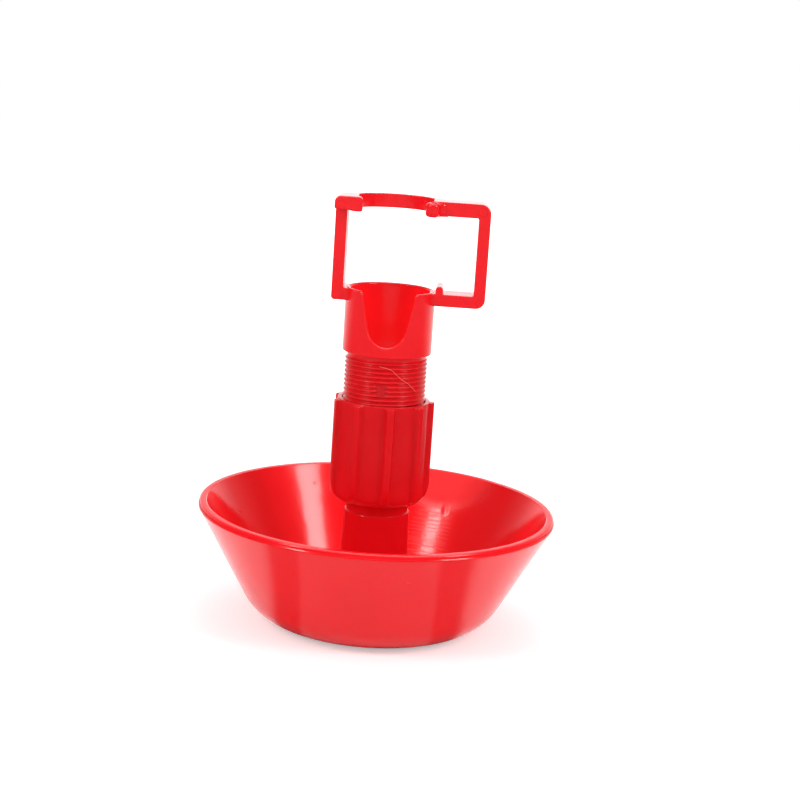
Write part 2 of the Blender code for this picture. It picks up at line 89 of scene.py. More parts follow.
class Value:
    """The output of a shader node, in sums written with Python's operators."""

    def __init__(self, mix, socket):
        self.mix = mix
        self.socket = socket

    def maths(self, operation, first, second=0.0):
        """A Math node that works on one or two values."""
        return self.mix.node("ShaderNodeMath", {"operation": operation}, {0: first, 1: second})

    def __add__(self, other):
        return self.maths("ADD", self, other)

    def __sub__(self, other):
        return self.maths("SUBTRACT", self, other)

    def __rsub__(self, other):
        return self.maths("SUBTRACT", other, self)

    def __mul__(self, other):
        return self.maths("MULTIPLY", self, other)

    __radd__ = __add__
    __rmul__ = __mul__

    def abs(self):
        return self.maths("ABSOLUTE", self)

    def sqrt(self):
        return self.maths("SQRT", self)

    def least(self, other):
        return self.maths("MINIMUM", self, other)

    def most(self, other):
        return self.maths("MAXIMUM", self, other)

    def turn_from(self, other):
        """Angle whose tangent is self over other."""
        return self.maths("ARCTAN2", self, other)

    def ramp(self, low, high):
        """0 up to low, 1 from high and a smooth rise between them, or a fall where low is the larger."""
        sockets = {"Value": self, "From Min": low, "From Max": high}
        return self.mix.node("ShaderNodeMapRange", {"interpolation_type": "SMOOTHSTEP"}, sockets)


class Mix:
    """A material or world being mixed from nodes."""

    def __init__(self, owner):
        owner.use_nodes = True
        self.owner = owner
        self.tree = owner.node_tree

    def node(self, kind, settings=None, sockets=None, output=0):
        """Adds a node, gives it its settings and then the values or links of its sockets."""
        added = self.tree.nodes.new(kind)
        for name, setting in (settings or {}).items():
            setattr(added, name, setting)
        for name, value in (sockets or {}).items():
            if isinstance(value, Value):
                self.tree.links.new(value.socket, added.inputs[name])
            else:
                added.inputs[name].default_value = value
        return Value(self, added.outputs[output])

    def plug(self, value, node_name, socket_name):
        """Links a value to a socket of a node that is there already."""
        self.tree.links.new(value.socket, self.tree.nodes[node_name].inputs[socket_name])


room = Mix(bpy.data.worlds.new("studio"))
bpy.context.scene.world = room.owner
towards = room.node("ShaderNodeTexCoord", output="Generated")
backward = room.node("ShaderNodeSeparateXYZ", sockets={0: towards}, output="Y")
upward = room.node("ShaderNodeSeparateXYZ", sockets={0: towards}, output="Z")
backdrop = backward.ramp(*BACKDROP_BESIDE) * (1.0 - upward.ramp(*BACKDROP_ABOVE) * BACKDROP_FALL)
reflected = DIM_GLOSS + backdrop.most(upward.ramp(*UNDERNEATH)) * (BACKDROP_GLOSS - DIM_GLOSS)
reflected = reflected + upward.ramp(*OVERHEAD) * OVERHEAD_GLOSS + backward.ramp(*HORIZON) * HORIZON_GLOSS
ray = "ShaderNodeLightPath"
mirrored = room.node(ray, output="Is Glossy Ray").most(room.node(ray, output="Is Transmission Ray"))
seen = room.node(ray, output="Is Camera Ray")
level = (reflected * mirrored + ROOM_LIGHT * (1.0 - mirrored)) * (1.0 - seen) + seen
room.plug(level, "Background", "Strength")
room.tree.nodes["Background"].inputs["Color"].default_value = (1.0, 1.0, 1.0, 1.0)

FLOOR_SIZE = 3.0
FLOOR_DROP = 0.05 * MM
FLOOR_WHITE = 0.80
LIFT = (0.16, 0.30)
LIFT_NEAR = 0.40
LIFT_FAR = 1.0
TABLE_EDGE = (0.075, 0.115)
BEHIND = (0.40, 0.05)
BEHIND_BEARING = (2.9, 2.4)
FAR = (0.20, 0.90)
FAR_GLOSS = 0.5
GAP_FROM = math.radians(33.0)
GAP_TO = math.radians(57.0)
GAP_SOFT = 0.09
GAP_FADE = 0.12
GAP_DIM = 0.6
SIDE_GLOSS = 0.47

floor_mesh = bpy.data.meshes.new("studio_floor")
corner_x = np.array([-1, 1, 1, -1]) * FLOOR_SIZE / 2
corner_y = np.array([-1, -1, 1, 1]) * FLOOR_SIZE / 2
corners = np.stack([corner_x, corner_y, 0 * corner_x - FLOOR_DROP], axis=1)
floor_mesh.from_pydata(corners.tolist(), [], [(0, 1, 2, 3)])
floor = bpy.data.objects.new("studio_floor", floor_mesh)
bpy.context.scene.collection.objects.link(floor)

# The table is as white as paper to the camera. Its edge, and the gaps beside the cup, are dim in reflections.
paper = Mix(bpy.data.materials.new("white_paper"))
shader = paper.tree.nodes["Principled BSDF"]
shader.inputs["Base Color"].default_value = (FLOOR_WHITE, FLOOR_WHITE, FLOOR_WHITE, 1.0)
shader.inputs["Roughness"].default_value = 0.9
shader.inputs["Specular IOR Level"].default_value = 0.0
shader.inputs["Emission Color"].default_value = (1.0, 1.0, 1.0, 1.0)
on_floor = paper.node("ShaderNodeTexCoord", output="Object")
floor_x = paper.node("ShaderNodeSeparateXYZ", sockets={0: on_floor}, output="X")
floor_y = paper.node("ShaderNodeSeparateXYZ", sockets={0: on_floor}, output="Y")
away = paper.node("ShaderNodeVectorMath", {"operation": "LENGTH"}, {0: on_floor}, "Value")
bearing = floor_x.turn_from(0.0 - floor_y).abs()
in_gloss = paper.node(ray, output="Is Glossy Ray")
in_view = paper.node(ray, output="Is Camera Ray")
lift = in_view * (away.ramp(*LIFT) * (LIFT_FAR - LIFT_NEAR) + LIFT_NEAR)
sides = bearing.ramp(GAP_TO - GAP_SOFT, GAP_TO + GAP_SOFT) * SIDE_GLOSS
paper.plug(lift + in_gloss * sides, "Principled BSDF", "Emission Strength")
gap = bearing.ramp(GAP_FROM, GAP_FROM + GAP_SOFT) * bearing.ramp(GAP_TO, GAP_TO - GAP_FADE) * GAP_DIM
past_table = away.ramp(*TABLE_EDGE) * floor_y.ramp(*BEHIND) * bearing.ramp(*BEHIND_BEARING)
far_glow = away.ramp(*FAR) * FAR_GLOSS
off_table = paper.node("ShaderNodeEmission", sockets={"Strength": far_glow}, output="Emission")
past_edge = paper.node("ShaderNodeMixShader", sockets={0: in_gloss * past_table.most(gap)})
paper.tree.links.new(shader.outputs[0], past_edge.socket.node.inputs[1])
paper.tree.links.new(off_table.socket, past_edge.socket.node.inputs[2])
paper.plug(past_edge, "Material Output", "Surface")
floor_mesh.materials.append(paper.owner)

AIM = Vector((0.0, 0.0, 0.05))


def soft_box(name, place, width, height, watts):
    """A rectangular soft light at a place, turned towards the cup."""
    data = bpy.data.lights.new(name, "AREA")
    data.shape = "RECTANGLE"
    data.size = width
    data.size_y = height
    data.energy = watts
    light = bpy.data.objects.new(name, data)
    light.location = place
    light.rotation_euler = (AIM - Vector(place)).to_track_quat("-Z", "Y").to_euler()
    bpy.context.scene.collection.objects.link(light)


soft_box("left_soft_box", (-0.62, -0.45, 0.55), 0.16, 0.40, 2.4)
soft_box("right_soft_box", (0.72, -0.38, 0.60), 0.25, 0.40, 3.2)
soft_box("top_soft_box", (0.0, 0.25, 0.90), 0.60, 0.40, 1.2)


# Bowl: a flared bowl with a hollow centre post and a thin neck on it, injection moulded in one from glossy
# red polypropylene. The neck goes up through the floor of the sleeve, and its bead keeps it there.
RIM_RADIUS = 37.5
BOWL_HEIGHT = 24.9
BOWL_WALL = 1.5
RIM_THICKER = 0.55
RIM_BAND = 1.2
RIM_RIDGE = 0.14
BASE_RADIUS = 18.0
BASE_FILLET = 10.7
WALL_FLARE = math.radians(29.0)
POST_RADIUS = 6.8
POST_DRAFT = math.radians(2.0)
POST_HEIGHT = 24.0
POST_BORE = 4.9
POST_BORE_FOOT = 4.4
NECK_RADIUS = 6.5
BEAD_PROUD = 0.65
SLEEVE_BOTTOM = 26.2
DIMPLE_RADIUS = 2.4
DIMPLE_DEPTH = 0.5
GATE_RADIUS = 0.9
GATE_DEPTH = 0.17

OUTLET_WIDTH = 3.4
OUTLET_HEIGHT = 3.6
OUTLET_SILL = 1.8


def path(corners, closed=False, steps=8):
    """Path through (x, y, radius) corners, each one replaced by its arc.

    With a and b the unit vectors from a corner to its neighbours and h half the angle between them, the arc's
    centre is the corner plus (a + b) / |a + b| * radius / sin h. The arc swings between the two points where
    it touches the sides, which lie radius / tan h from the corner.
    """
    given = np.array(corners, float)
    corner, radius = given[:, :2], np.maximum(given[:, 2:], 1e-7)
    to_last = np.roll(corner, 1, axis=0) - corner
    to_next = np.roll(corner, -1, axis=0) - corner
    to_last /= np.linalg.norm(to_last, axis=1, keepdims=True)
    to_next /= np.linalg.norm(to_next, axis=1, keepdims=True)
    half = np.arccos(np.clip((to_last * to_next).sum(axis=1, keepdims=True), -1, 1)) / 2
    middle = to_last + to_next
    middle /= np.maximum(np.linalg.norm(middle, axis=1, keepdims=True), 1e-12)
    centre = corner + middle * radius / np.sin(half)
    start = corner + to_last * radius / np.tan(half) - centre
    end = corner + to_next * radius / np.tan(half) - centre
    sweep = math.pi - 2 * half
    share = np.linspace(0.0, 1.0, steps + 1)[None, :, None]
    swing = sweep[:, None, :]
    arcs = np.sin((1 - share) * swing) * start[:, None] + np.sin(share * swing) * end[:, None]
    arcs /= np.maximum(np.sin(swing), 1e-9)
    points = centre[:, None] + arcs
    if not closed:
        points[0], points[-1] = corner[0], corner[-1]
    points = points.reshape(-1, 2)
    apart = np.linalg.norm(points - np.roll(points, 1, axis=0), axis=1) > 2e-6
    if not closed:
        apart[0] = True
    return points[apart]


def sheet_faces(rows, columns, close_rows=False, close_columns=False):
    """Corner numbers of the four-sided faces of a grid, as one array."""
    row = np.arange(rows if close_rows else rows - 1)[:, None]
    column = np.arange(columns if close_columns else columns - 1)[None, :]
    below, beside = (row + 1) % rows, (column + 1) % columns
    upper = [row * columns + column, row * columns + beside]
    lower = [below * columns + beside, below * columns + column]
    return np.stack(upper + lower, axis=-1).reshape(-1, 4)


def moulding(name, shells, merge=1e-6):
    """One object from closed shells of (points, faces), its seams and poles merged and its faces outwards."""
    points, faces, count = [], [], 0
    for shell_points, shell_faces in shells:
        shell_points = np.asarray(shell_points).reshape(-1, 3)
        points.append(shell_points)
        faces += [[corner + count for corner in face] for face in shell_faces]
        count += len(shell_points)
    mesh = bpy.data.meshes.new(name)
    mesh.from_pydata(np.concatenate(points).tolist(), [], faces)
    shape = bmesh.new()
    shape.from_mesh(mesh)
    bmesh.ops.remove_doubles(shape, verts=shape.verts, dist=merge)
    bmesh.ops.recalc_face_normals(shape, faces=shape.faces)
    shape.to_mesh(mesh)
    shape.free()
    mesh.shade_smooth()
    made = bpy.data.objects.new(name, mesh)
    bpy.context.scene.collection.objects.link(made)
    return made


def turned(profile, columns):
    """Shell turned about Z from (radius, height) points: x = r cos a, y = r sin a, z = height."""
    angle = np.linspace(0.0, 2 * math.pi, columns, endpoint=False)
    radius, height = profile[:, :1], profile[:, 1:]
    points = np.stack([radius * np.cos(angle), radius * np.sin(angle), height + 0 * angle], axis=-1)
    return points, sheet_faces(len(profile), columns, close_columns=True).tolist()


def flats_kept(piece):
    """Shades flat faces flat and roundings round, by the size of the faces that meet."""
    shading = piece.modifiers.new("Keep flats", "WEIGHTED_NORMAL")
    shading.mode = "FACE_AREA"
    shading.weight = 80
    shading.keep_sharp = True


def bowl_section():
    """Radius and height of the bowl's section in mm, from inside the post, over the rim, to underneath."""
    flare = math.tan(WALL_FLARE)
    foot_in = BASE_RADIUS + (BASE_FILLET - BOWL_WALL) * math.cos(WALL_FLARE)
    foot_in -= (BASE_FILLET - (BASE_FILLET - BOWL_WALL) * math.sin(WALL_FLARE)) * flare
    foot_out = BASE_RADIUS + BASE_FILLET * math.cos(WALL_FLARE)
    foot_out -= (BASE_FILLET - BASE_FILLET * math.sin(WALL_FLARE)) * flare
    post_foot = POST_RADIUS + (POST_HEIGHT - BOWL_WALL) * math.tan(POST_DRAFT)
    bead = SLEEVE_BOTTOM + 2.3
    band = BOWL_HEIGHT - RIM_BAND
    ridge = RIM_RADIUS - RIM_RIDGE
    corners = [
        (0.0, BOWL_WALL, 0.0),
        (POST_BORE_FOOT, BOWL_WALL, 0.4),
        (POST_BORE, bead + 1.9, 0.15),
        (NECK_RADIUS, bead + 1.9, 0.3),
        (NECK_RADIUS + BEAD_PROUD, bead + 0.75, 0.25),
        (NECK_RADIUS + BEAD_PROUD, bead + 0.3, 0.15),
        (NECK_RADIUS, bead, 0.05),
        (NECK_RADIUS, POST_HEIGHT, 0.12),
        (POST_RADIUS, POST_HEIGHT, 0.16),
        (post_foot, BOWL_WALL, 1.5),
        (foot_in + BOWL_WALL * flare, BOWL_WALL, BASE_FILLET - BOWL_WALL),
        (foot_in + BOWL_HEIGHT * flare - RIM_THICKER, BOWL_HEIGHT, 0.28),
        (ridge, BOWL_HEIGHT, 0.5),
        (ridge, band + 0.45, 0.12),
        (RIM_RADIUS, band + 0.25, 0.12),
        (RIM_RADIUS, band, 0.12),
        (foot_out + band * flare, band, 0.02),
        (foot_out, 0.0, BASE_FILLET),
        (DIMPLE_RADIUS, 0.0, 0.15),
        (DIMPLE_RADIUS, DIMPLE_DEPTH, 0.1),
        (GATE_RADIUS, DIMPLE_DEPTH, 0.1),
        (GATE_RADIUS, GATE_DEPTH, 0.1),
        (0.0, GATE_DEPTH, 0.0),
    ]
    return path(corners, steps=12)


def slab(outline, thickness, edge, steps=5):
    """Plate with rounded edges: an outline in X and Y, its thickness along Z from 0.

    The ring of the outline at turn t of the rounding lies edge * (1 - cos t) below the face and is drawn in
    by edge * (1 - sin t), along the mitred normals of the outline.
    """
    side = np.roll(outline, -1, axis=0) - outline
    normal = np.stack([side[:, 1], -side[:, 0]], axis=1)
    normal /= np.linalg.norm(normal, axis=1, keepdims=True)
    last = np.roll(normal, 1, axis=0)
    mitre = (normal + last) / (1 + (normal * last).sum(axis=1, keepdims=True))
    x, y = outline.T
    inwards = -np.sign((x * np.roll(y, -1) - y * np.roll(x, -1)).sum())
    turn = np.linspace(0.0, math.pi / 2, steps + 1)
    drawn_in = edge * (1 - np.sin(turn))
    depth = edge * (1 - np.cos(turn))
    drawn_in = np.concatenate([drawn_in, drawn_in[::-1]])
    depth = np.concatenate([depth, (thickness - depth)[::-1]])
    flat = outline[None] + inwards * drawn_in[:, None, None] * mitre[None]
    level = np.broadcast_to(depth[:, None, None], (*flat.shape[:2], 1))
    points = np.concatenate([flat, level], axis=-1)
    rows, columns = points.shape[:2]
    faces = sheet_faces(rows, columns, close_columns=True).tolist()
    faces.append(list(range(columns)))
    faces.append(list(range((rows - 1) * columns, rows * columns)))
    return points, faces


def upright(shell, front):
    """Stands a plate drawn in X and Z up, with its front face at a depth in Y."""
    points, faces = shell
    return np.stack([points[..., 0], points[..., 2] + front, points[..., 1]], axis=-1), faces


def cut(piece, shell, turn=0.0):
    """Cuts a closed shell out of a piece, and takes the cutter away again."""
    cutter = moulding("cutter", [shell])
    cutter.matrix_world = Matrix.Rotation(turn, 4, "Z")
    step = piece.modifiers.new("Cut", "BOOLEAN")
    step.operation = "DIFFERENCE"
    step.object = cutter
    step.solver = "EXACT"
    bpy.context.view_layer.update()
    result = piece.evaluated_get(bpy.context.evaluated_depsgraph_get())
    piece.data = bpy.data.meshes.new_from_object(result)
    piece.modifiers.clear()
    bpy.data.objects.remove(cutter)


bowl = moulding("cup_bowl", [turned(bowl_section() * MM, 256)])
half_outlet = OUTLET_WIDTH / 2
arch_top = OUTLET_SILL + OUTLET_HEIGHT
arch = half_outlet * 0.98
outlet = path([
    (-half_outlet, OUTLET_SILL, 0.1), (half_outlet, OUTLET_SILL, 0.1),
    (half_outlet, arch_top, arch), (-half_outlet, arch_top, arch),
], closed=True) * MM
for outlet_turn in (math.pi / 4, -math.pi / 4):
    cut(bowl, upright(slab(outlet, 20 * MM, 0.1 * MM), -10 * MM), outlet_turn)
flats_kept(bowl)
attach(bowl, "bowl")
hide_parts("bowl")

RED = (0.86, 0.007, 0.0125)
BOWL_TONE = 0.95
BOWL_GLOSS = 0.08
INSIDE_LINE = 23.45
RING_LINES = 7500.0
RING_BANDS = 420.0
# Marks of use and of the mould: a place and a reach in millimetres, and how the distance is stretched.
SCUFFS = ((11.2, 26.8, 10.5), 7.5, (1.0, 1.0, 0.5))
DULL_PLACE = ((13.2, 30.8, 23.5), 8.5, (0.55, 0.55, 1.1))
DROP = ((14.6, 28.2, 17.3), 1.6, (1.4, 1.0, 0.8))
SPECK = ((-15.7, 29.9, 20.8), 0.45)
SPOT = ((-30.2, 11.4, 18.1), 0.6)
NICK = ((8.3, -33.7, 18.7), 0.9, (1.0, 1.0, 5.0))


def red_plastic(name, depth=1.6, share=0.4):
    """Glossy moulded plastic with soft unevenness. A share of the light goes in, to a depth in mm."""
    mix = Mix(bpy.data.materials.new(name))
    shader = mix.tree.nodes["Principled BSDF"]
    shader.inputs["IOR"].default_value = 1.49
    shader.inputs["Subsurface Weight"].default_value = share
    shader.inputs["Subsurface Radius"].default_value = (1.0, 0.12, 0.10)
    shader.inputs["Subsurface Scale"].default_value = depth * MM
    mix.place = mix.node("ShaderNodeTexCoord", output="Object")
    mix.cloud = mix.node("ShaderNodeTexNoise", sockets={"Vector": mix.place, "Scale": 90.0, "Detail": 3.0})
    mix.ripple = mix.node("ShaderNodeTexNoise", sockets={"Vector": mix.place, "Scale": 240.0, "Detail": 1.0})
    mix.grain = mix.node("ShaderNodeTexNoise", sockets={"Vector": mix.place, "Scale": 2600.0, "Detail": 2.0})
    return mix


def coated(mix, tone, gloss, height, colour=RED):
    """Plugs a colour tone about 1, a roughness and a height in metres into the plastic."""
    red = mix.node("ShaderNodeMix", {"data_type": "RGBA", "blend_type": "MULTIPLY"},
                   {"Factor": 1.0, "A": (*colour, 1.0)}, 2)
    mix.tree.links.new(tone.socket, red.socket.node.inputs["B"])
    mix.plug(red, "Principled BSDF", "Base Color")
    mix.plug(gloss, "Principled BSDF", "Roughness")
    bump = mix.node("ShaderNodeBump", sockets={"Height": height, "Strength": 1.0, "Distance": 1.0})
    mix.plug(bump, "Principled BSDF", "Normal")
    return mix.owner


def place_of(mix):
    """X, Y and Z of a point in the piece's own axes, and its distance from Z, which is sqrt(x^2 + y^2)."""
    x, y, z = (mix.node("ShaderNodeSeparateXYZ", sockets={0: mix.place}, output=axis) for axis in "XYZ")
    return x, y, z, (x * x + y * y).sqrt()


def near(mix, place, reach, stretch=(1.0, 1.0, 1.0)):
    """1 at a place in millimetres and 0 past the reach, with the distance stretched along the axes."""
    scaled = mix.node("ShaderNodeVectorMath", {"operation": "MULTIPLY"}, {0: mix.place, 1: stretch})
    middle = [at * much * MM for at, much in zip(place, stretch)]
    apart = mix.node("ShaderNodeVectorMath", {"operation": "DISTANCE"}, {0: scaled, 1: middle}, "Value")
    return apart.ramp(reach * MM, 0.0)


mix = red_plastic("bowl_red")
x, y, z, from_axis = place_of(mix)
rings, bands = (
    mix.node("ShaderNodeTexNoise", {"noise_dimensions": "1D"},
             {"W": from_axis * often, "Detail": 1.0, "Scale": 1.0})
    for often in (RING_LINES, RING_BANDS)
)
off_wall = z * math.tan(WALL_FLARE) + INSIDE_LINE * MM - from_axis
inside = off_wall.ramp(0.0, 0.4 * MM) * z.ramp(0.7 * MM, 1.0 * MM)
scuffed = (near(mix, *SCUFFS) * 2.0).least(1.0) * inside
scratch = rings.ramp(0.50, 0.62) * scuffed
dull = (near(mix, *DULL_PLACE) * 2.5).least(1.0) * inside
drop, speck, spot, nick = (near(mix, *mark) for mark in (DROP, SPECK, SPOT, NICK))
# Painted shade: the post and neck stand in the shade under the sleeve, so they are drawn 27% darker than the
# bowl's red.
post = from_axis.ramp(9.6 * MM, 8.6 * MM) * z.ramp(2.0 * MM, 3.5 * MM)
# inside * 0.04 draws the inside of the bowl a little lighter than its outside: painted light.
tone = mix.cloud * 0.10 + BOWL_TONE + inside * 0.04 - speck * 0.55 + spot * 0.2
gloss = mix.cloud * 0.10 + mix.grain * 0.03 + scratch * 0.30 + dull * 0.50 + nick * 0.3 + BOWL_GLOSS
height = rings * (inside * 1e-6 + scuffed * 4e-6) + (bands + mix.ripple) * inside * 2.8e-5
height = height + mix.cloud * 1.2e-5 + mix.grain * 2e-7
height = height + drop * 1.2e-4 - speck * 4e-5 + spot * 4e-5 + nick * 4e-5
bowl.data.materials.clear()
bowl.data.materials.append(coated(mix, tone * (1.0 - post * 0.27), gloss, height))


# Sleeve: a nut with nine grip ribs, moulded in the same plastic. It turns on the bowl's neck, and the
# hanger's thread screws into it from above.
SLEEVE_TOP = 47.9
SLEEVE_RADIUS = 9.65
SLEEVE_EDGE = 2.0
SLEEVE_BORE = 8.75
SLEEVE_HOLE = 6.6
SLEEVE_FLOOR = 2.0
BORE_CHAMFER = 0.12
RIB_COUNT = 9
RIB_TOP_WIDTH = 1.3
RIB_BASE_WIDTH = 2.2
RIB_PROUD = 1.0
RIB_TOP_STEP = 0.15
RIB_ROUNDING = 0.35
FIRST_RIB = math.radians(11.0 - 90.0)
WALL_LEVELS = [2.55, 2.8, 3.1, 3.6, 4.0]
FOOT_HEIGHTS = [0.9, 1.2, 1.5, 2.0, 2.55, 3.1, 3.6, 4.4]
FOOT_RISES = [0.0, 0.2, 0.36, 0.55, 0.71, 0.83, 0.92, 1.0]
END_DROPS = [0.0, 0.02, 0.06, 0.12, 0.2, 0.3]
END_RISES = [0.6, 0.76, 0.9, 0.97, 0.995, 1.0]
# Painted shade: the sleeve's red is drawn darker than the bowl's and the frame's, for the light it loses low
# down between the bowl and the collar.
SLEEVE_SHADED_TONE = 0.71
SLEEVE_GLOSS = 0.12


def ribbed_sleeve():
    """Shell of the sleeve on a closed grid of turn and section: radius = section + rise * rib.

    The rib is a rounded trapezium, read by the distance round the drum from the rib's middle. The rise goes
    from 0 to 1 up the sleeve's lower rounding and falls off in a small rounding at its top.
    """
    floor = SLEEVE_BOTTOM + SLEEVE_FLOOR
    rib_end = SLEEVE_TOP - RIB_TOP_STEP
    bottom_half = path([
        (SLEEVE_BORE, floor, 0.3), (SLEEVE_HOLE, floor, 0.1), (SLEEVE_HOLE, SLEEVE_BOTTOM, 0.15),
        (SLEEVE_RADIUS, SLEEVE_BOTTOM, SLEEVE_EDGE), (SLEEVE_RADIUS, SLEEVE_BOTTOM + 3.0, 0.0),
    ], steps=12)
    levels = np.concatenate([
        SLEEVE_BOTTOM + np.array(WALL_LEVELS), np.linspace(SLEEVE_BOTTOM + 4.4, rib_end - 1.0, 8),
        rib_end - np.array(END_DROPS[::-1]), [rib_end],
    ])
    wall = np.stack([np.full(len(levels), SLEEVE_RADIUS), levels], axis=1)
    top_half = path([
        (SLEEVE_RADIUS, rib_end, 0.0), (SLEEVE_RADIUS, SLEEVE_TOP, 0.12),
        (SLEEVE_BORE + BORE_CHAMFER, SLEEVE_TOP, 0.04), (SLEEVE_BORE, SLEEVE_TOP - BORE_CHAMFER, 0.04),
        (SLEEVE_BORE, floor + 0.5, 0.0),
    ], steps=6)
    section = np.concatenate([bottom_half[:-1], wall, top_half[1:]])
    last = len(bottom_half) - 1 + len(wall)
    rise = np.interp(section[:, 1] - SLEEVE_BOTTOM, FOOT_HEIGHTS, FOOT_RISES)
    rise *= np.interp(rib_end - section[:, 1], END_DROPS, END_RISES)
    rise[section[:, 0] < SLEEVE_RADIUS - 1.5] = 0.0
    rise[last - 1:] = 0.0

    half_rib = path([
        (0.0, RIB_PROUD, 0.0), (RIB_TOP_WIDTH / 2, RIB_PROUD, RIB_ROUNDING),
        (RIB_BASE_WIDTH / 2, 0.0, RIB_ROUNDING), (RIB_BASE_WIDTH / 2 + 0.45, 0.0, 0.0),
    ], steps=7)
    away = np.concatenate([-half_rib[:0:-1, 0], half_rib[:, 0]])
    proud = np.concatenate([half_rib[:0:-1, 1], half_rib[:, 1]])
    pitch = 2 * math.pi / RIB_COUNT
    between = np.linspace(away[-1], pitch * SLEEVE_RADIUS - away[-1], 9)[1:-1]
    across = np.concatenate([away, between])
    across_rise = np.concatenate([proud, 0 * between])
    within = across / (SLEEVE_RADIUS + across_rise / 2)
    turns = (FIRST_RIB + pitch * np.arange(RIB_COUNT)[:, None] + within[None]).reshape(-1)
    rises = np.tile(across_rise, RIB_COUNT)
    radius = section[:, :1] + rise[:, None] * rises[None]
    points = np.stack([radius * np.cos(turns), radius * np.sin(turns), section[:, 1:] + 0 * turns], axis=-1)
    return points * MM, sheet_faces(len(section), len(turns), True, True).tolist()


sleeve = moulding("adjusting_nut", [ribbed_sleeve()])
flats_kept(sleeve)
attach(sleeve, "sleeve")
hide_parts("adjusting_sleeve")

mix = red_plastic("sleeve_red")
# The sleeve's darker tone is painted shade.
tone = mix.cloud * 0.12 + SLEEVE_SHADED_TONE
gloss = mix.cloud * 0.12 + mix.grain * 0.04 + SLEEVE_GLOSS
height = mix.cloud * 1.4e-5 + mix.grain * 2e-7
sleeve.data.materials.append(coated(mix, tone, gloss, height))


# Hanger's tube: a fine right-hand thread of 0.95 mm pitch in red plastic, moulded in one with the collar
# above it. The thread runs out under the collar, and a small flat patch interrupts it at the front.
TUBE_BOTTOM = 38.5
COLLAR_BOTTOM = 57.9
THREAD_CREST = 8.6
THREAD_ROOT = 8.1
THREAD_PITCH = 0.95
THREAD_START = math.radians(200.0)
THREAD_COLUMNS = 128
THREAD_PLACES = [0.0, 0.05, 0.09, 0.14, 0.22, 0.32, 0.41, 0.46, 0.54, 0.59, 0.68, 0.78, 0.86, 0.91, 0.95, 1.0]
THREAD_KNOTS = [0.0, 0.05, 0.09, 0.14, 0.41, 0.46, 0.54, 0.59, 0.86, 0.91, 0.95, 1.0]
THREAD_RISES = [1.0, 1.0, 0.96, 0.86, 0.12, 0.02, 0.02, 0.12, 0.86, 0.96, 1.0, 1.0]
TUBE_BORE = 7.3
FUNNEL_MIDDLE = 7.86
FUNNEL_DEPTH = 2.7
PATCH_X = -0.29
PATCH_Z = 51.0
PATCH_HALF = 1.15
PATCH_PROUD = 0.15
# Painted shade: the thread's red is drawn darker than the collar's, though they are one moulding.
TUBE_SHADED_TONE = 0.74
TUBE_GLOSS = 0.16
# Painted glow: the emission colour and the amounts that make the insides of the funnel and the collar glow,
# for the light that comes through their thin walls.
GLOW = (1.0, 0.018, 0.020)
PAINTED_WALL_GLOW = 0.27


def threaded_tube():
    """Shell of the tube, its thread a profile carried along a helix: z = pitch * turns + place across.

    Each point keeps its place across the thread for the whole length of the helix, so that the crest is a
    clean line. Points past an end are held at the end's height, where the thread has faded to its root.
    """
    across = np.array(THREAD_PLACES)
    form = np.interp(across, THREAD_KNOTS, THREAD_RISES)
    low, high = TUBE_BOTTOM + 0.3, COLLAR_BOTTOM + 0.2
    turns = math.ceil((high - low) / THREAD_PITCH) + 2
    along = np.arange(turns * THREAD_COLUMNS + 1)[None, :] / THREAD_COLUMNS
    height = low - THREAD_PITCH * 1.5 + THREAD_PITCH * (along + across[:, None])
    fade = np.clip((height - low) / 0.8, 0, 1) * np.clip((high - 0.9 - height) / 0.5, 0, 1)
    radius = THREAD_ROOT + (THREAD_CREST - THREAD_ROOT) * form[:, None] * fade
    height = np.clip(height, low, high)
    angle = THREAD_START + 2 * math.pi * along + 0 * height
    beside, over = np.abs(radius * np.cos(angle) - PATCH_X), np.abs(height - PATCH_Z)
    patch = np.clip((PATCH_HALF - beside) / 0.1, 0, 1) * np.clip((PATCH_HALF - over) / 0.1, 0, 1)
    radius += (THREAD_ROOT + PATCH_PROUD - radius) * patch * (np.sin(angle) < 0)
    thread = np.stack([radius * np.cos(angle), radius * np.sin(angle), height], axis=-1)
    thread_faces = sheet_faces(*thread.shape[:2])

    inside = path([
        (THREAD_ROOT, high, 0.0), (FUNNEL_MIDDLE, high, 0.03), (TUBE_BORE, high - FUNNEL_DEPTH, 0.2),
        (TUBE_BORE, TUBE_BOTTOM, 0.1), (THREAD_ROOT, TUBE_BOTTOM, 0.2), (THREAD_ROOT, low, 0.0),
    ], steps=5)
    angle = THREAD_START + np.linspace(0.0, 2 * math.pi, THREAD_COLUMNS, endpoint=False)
    radius, level = inside[:, :1], inside[:, 1:] + 0 * angle
    rest = np.stack([radius * np.cos(angle), radius * np.sin(angle), level], axis=-1)
    rest_faces = sheet_faces(len(inside), THREAD_COLUMNS, close_columns=True)
    points = np.concatenate([thread.reshape(-1, 3), rest.reshape(-1, 3)])
    faces = np.concatenate([thread_faces, rest_faces + thread.shape[0] * thread.shape[1]])
    return points * MM, faces.tolist()


def paint_glow(mix, amount):
    """Paints a red glow into the plastic's emission, by an amount: painted light that stands for the light
    coming through a thin wall.
    """
    glow = mix.node("ShaderNodeMix", {"data_type": "RGBA", "blend_type": "MULTIPLY"},
                    {"Factor": 1.0, "A": (*GLOW, 1.0)}, 2)
    mix.tree.links.new(amount.socket, glow.socket.node.inputs["B"])
    mix.plug(glow, "Principled BSDF", "Emission Color")
    mix.tree.nodes["Principled BSDF"].inputs["Emission Strength"].default_value = 1.0


tube = moulding("threaded_tube", [threaded_tube()], merge=4e-6)
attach(tube, "hanger")
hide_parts("hanger")

